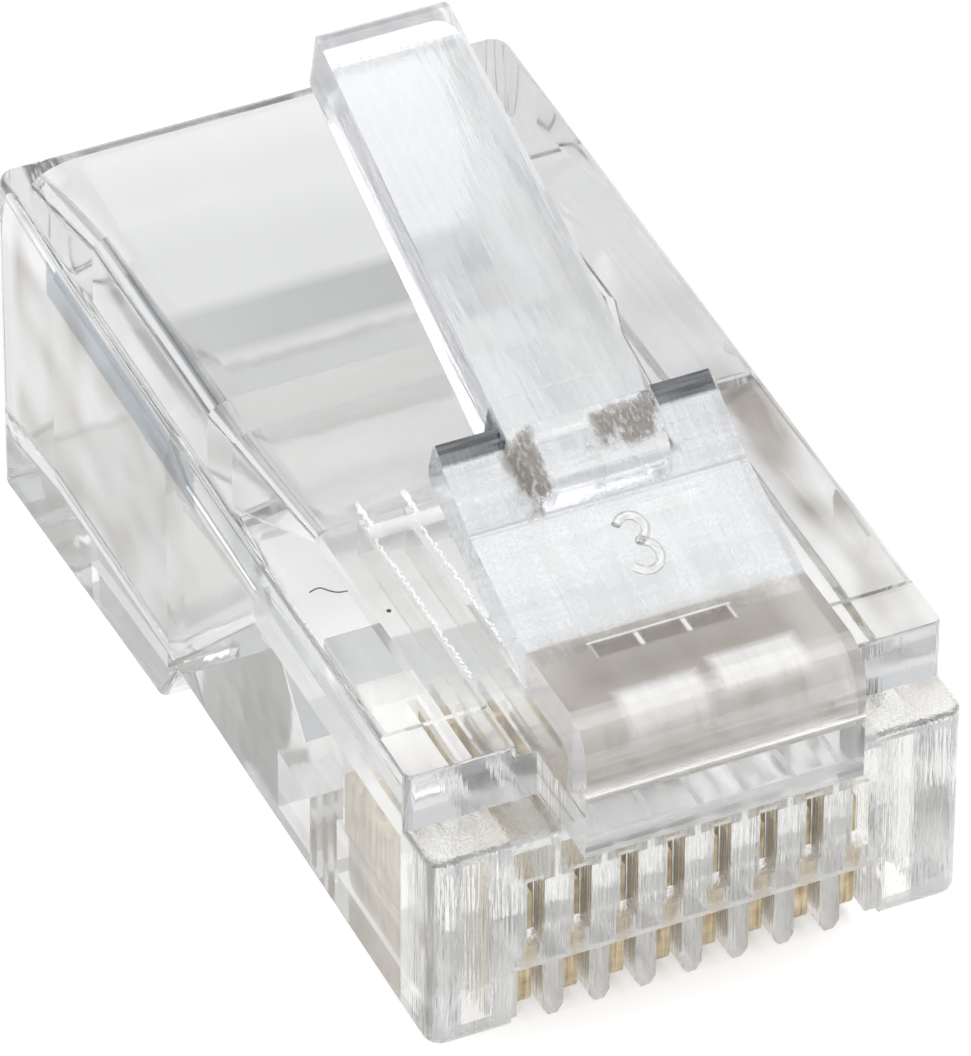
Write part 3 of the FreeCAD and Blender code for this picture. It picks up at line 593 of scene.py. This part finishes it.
# %% Dress the CAD nodes
for name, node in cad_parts.items():
    finish = {"latch": latch_finish, "strain_relief_bar": bar_finish}.get(name, clear_finish)
    if name.startswith("contact"):
        finish = gold_finish
    node.data.materials.clear()
    node.data.materials.append(finish)
print("dressed", len(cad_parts), "CAD nodes")

# %% [markdown]
# A mould with many cavities numbers each of them, so every plug carries a small raised
# digit. It is a round bead, half sunk in the plate. The bead follows the plate by itself:
# each point of the digit is dropped straight down on the latch's mesh.

# %% Beads on the plug
DROP_HEIGHT = 40


def drop(node, x, y):
    """The highest point of a CAD node over a place in the drawing."""
    start = at(x, y, DROP_HEIGHT)
    _, point, _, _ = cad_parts[node].ray_cast(start, Vector((0, 0, -1)))
    return point


def bead(name, body, finish, path, thickness):
    """A round bead along points in metres, riding on a body."""
    line = bpy.data.curves.new(name, "CURVE")
    line.dimensions = "3D"
    line.bevel_depth = thickness / 2
    line.bevel_resolution = 4
    line.use_fill_caps = True
    line.resolution_u = 6
    spline = line.splines.new("NURBS")
    spline.points.add(len(path) - 1)
    for knot, point in zip(spline.points, path):
        knot.co = (*point, 1.0)
    spline.order_u = 3
    spline.use_endpoint_u = True
    piece = bpy.data.objects.new(name, line)
    scene.collection.objects.link(piece)
    line.materials.append(finish)
    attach(piece, body)
    print(name, "runs through", len(path), "points")


top = drop("latch", 0, 3)
print("the plate's top is %.2f mm above the contact side" % (top.z / MM - CONTACT_SIDE))

# %% [markdown]
# The digit is a plain 3, as two bowls on top of each other. Each bowl is an arc, given by
# how high its middle stands, its radius, and the angles it runs between.

# %% Cavity digit
DIGIT_X, DIGIT_Y = 0.12, 3.3
DIGIT_BOWLS = ((0.33, 0.3, 150, -80), (-0.31, 0.34, 80, -150))
BOWL_STEPS = 8
DIGIT_THICKNESS = 0.2 * MM
path = []
for rise, radius, first, last in DIGIT_BOWLS:
    for step in range(BOWL_STEPS + 1):
        angle = math.radians(first + (last - first) * step / BOWL_STEPS)
        path.append(drop("latch", DIGIT_X + radius * math.cos(angle),
                         DIGIT_Y + (rise + radius * math.sin(angle))))
bead("cavity_digit", "latch", clear_finish, path, DIGIT_THICKNESS)

# %% [markdown]
# The walls between the wire channels are a seventh of a millimetre thick. Above the outer
# walls, rows of needle-like glints flash, broadest at their rear ends. They are painted
# highlights: small white grains that glow a little.

# %% Painted glints
GLINT_GLOW = 0.25
glint_finish, tree = new_finish("painted_glints_finish")
sparkle = grain(tree, drawing_place(tree), (0.04, 0.04, 0.04))
shade = add(tree, "Mix", sparkle, named={MIX_A: linear("D4D9DE"), MIX_B: linear("FFFFFF")},
            out=MIX_RESULT, data_type="RGBA")
# Painted highlight: a white grain with a glow of its own.
add(tree, "OutputMaterial", add(tree, "BsdfPrincipled", named={
    "Base Color": shade, "Roughness": 0.25, "Emission Color": (1, 1, 1, 1),
    "Emission Strength": GLINT_GLOW}))
print("voids glow with a strength of", GLINT_GLOW)

# %% [markdown]
# Each painted glint is a small ball, stretched along the wall. Its size, its drift off the
# line and the gap to the next one are drawn by chance within limits in millimetres.

# %% Rows of painted glints
GLINT_WALLS = (-3, -2, 2, 3)
GLINT_LINE_START, GLINT_LINE_END, GLINT_LEVEL = 9.75, 4.2, 5.0
TIP_START, TIP_GROWTH = 8.9, 0.04
GLINT_SIZES, GLINT_GAPS, GLINT_STRETCH, GLINT_DRIFT = (0.022, 0.036), (0.03, 0.07), 1.6, 0.03
random.seed(11)
rows = bmesh.new()
for wall in GLINT_WALLS:
    back_from_nose = GLINT_LINE_START
    while back_from_nose > GLINT_LINE_END:
        size = random.uniform(*GLINT_SIZES) + TIP_GROWTH * max(0, back_from_nose - TIP_START)
        drift = random.uniform(-GLINT_DRIFT, GLINT_DRIFT)
        made = bmesh.ops.create_icosphere(rows, subdivisions=1, radius=size * MM)["verts"]
        spot = at(wall * CHANNEL_PITCH + drift, back_from_nose, GLINT_LEVEL + drift)
        for vertex in made:
            vertex.co.y *= GLINT_STRETCH
            vertex.co += spot
        back_from_nose -= random.uniform(*GLINT_GAPS)
mesh = bpy.data.meshes.new("painted_wall_glints")
rows.to_mesh(mesh)
rows.free()
painted_glints = bpy.data.objects.new("painted_wall_glints", mesh)
scene.collection.objects.link(painted_glints)
mesh.materials.append(glint_finish)
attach(painted_glints, "housing")
print("voids drawn with", len(mesh.polygons), "faces")

# %% [markdown]
# Handling leaves its own marks. A lint fibre, 0.03 mm thick, clings to the top near the
# side, and it lies along points dropped on the housing.

# %% Lint fibre
FIBRE = ((-5.33, 6.98), (-5.1, 7.08), (-4.98, 6.9), (-4.8, 6.72), (-4.62, 6.72))
FIBRE_THICKNESS, FIBRE_LIFT = 0.03 * MM, 0.004 * MM
lint_finish, tree = new_finish("grey_lint")
fuzz = grain(tree, drawing_place(tree), (0.05, 0.05, 0.05))
shade = add(tree, "Mix", fuzz, named={MIX_A: linear("3A3835"), MIX_B: linear("7A756E")},
            out=MIX_RESULT, data_type="RGBA")
add(tree, "OutputMaterial", add(tree, "BsdfPrincipled",
                                named={"Base Color": shade, "Roughness": 0.8}))
path = [drop("housing", x, y) + Vector((0, 0, FIBRE_LIFT)) for x, y in FIBRE]
bead("lint_fibre", "housing", lint_finish, path, FIBRE_THICKNESS)

# %% [markdown]
# A dark grain of dust, the size of a pin prick, lies by the channels. It starts as a
# ball, every point of which is pushed in or out a little before the ball is pressed flat.

# %% Dust grain
DUST_X, DUST_Y = -4.12, 5.82
DUST_RADIUS, DUST_ROUGHNESS, DUST_FLATNESS = 0.05 * MM, 0.12, 0.6
random.seed(4)
grit = bmesh.new()
bmesh.ops.create_icosphere(grit, subdivisions=3, radius=DUST_RADIUS)
for vertex in grit.verts:
    vertex.co *= 1 + random.uniform(-DUST_ROUGHNESS, DUST_ROUGHNESS)
    vertex.co.z *= DUST_FLATNESS
mesh = bpy.data.meshes.new("dust_grain")
grit.to_mesh(mesh)
grit.free()
mesh.transform(Matrix.Translation(drop("housing", DUST_X, DUST_Y)))
dust = bpy.data.objects.new("dust_grain", mesh)
scene.collection.objects.link(dust)
mesh.materials.append(lint_finish)
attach(dust, "housing")
print("dust grain with", len(mesh.polygons), "faces")

# %% [markdown]
# The looks must not change the plug's size, so the two boxes are kept side by side.

# %% Sizes
low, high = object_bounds()
growth = [round((b - a) / MM, 3) for a, b in zip((*cad_low, *cad_high), (*low, *high))]
print("grown in mm:", growth)
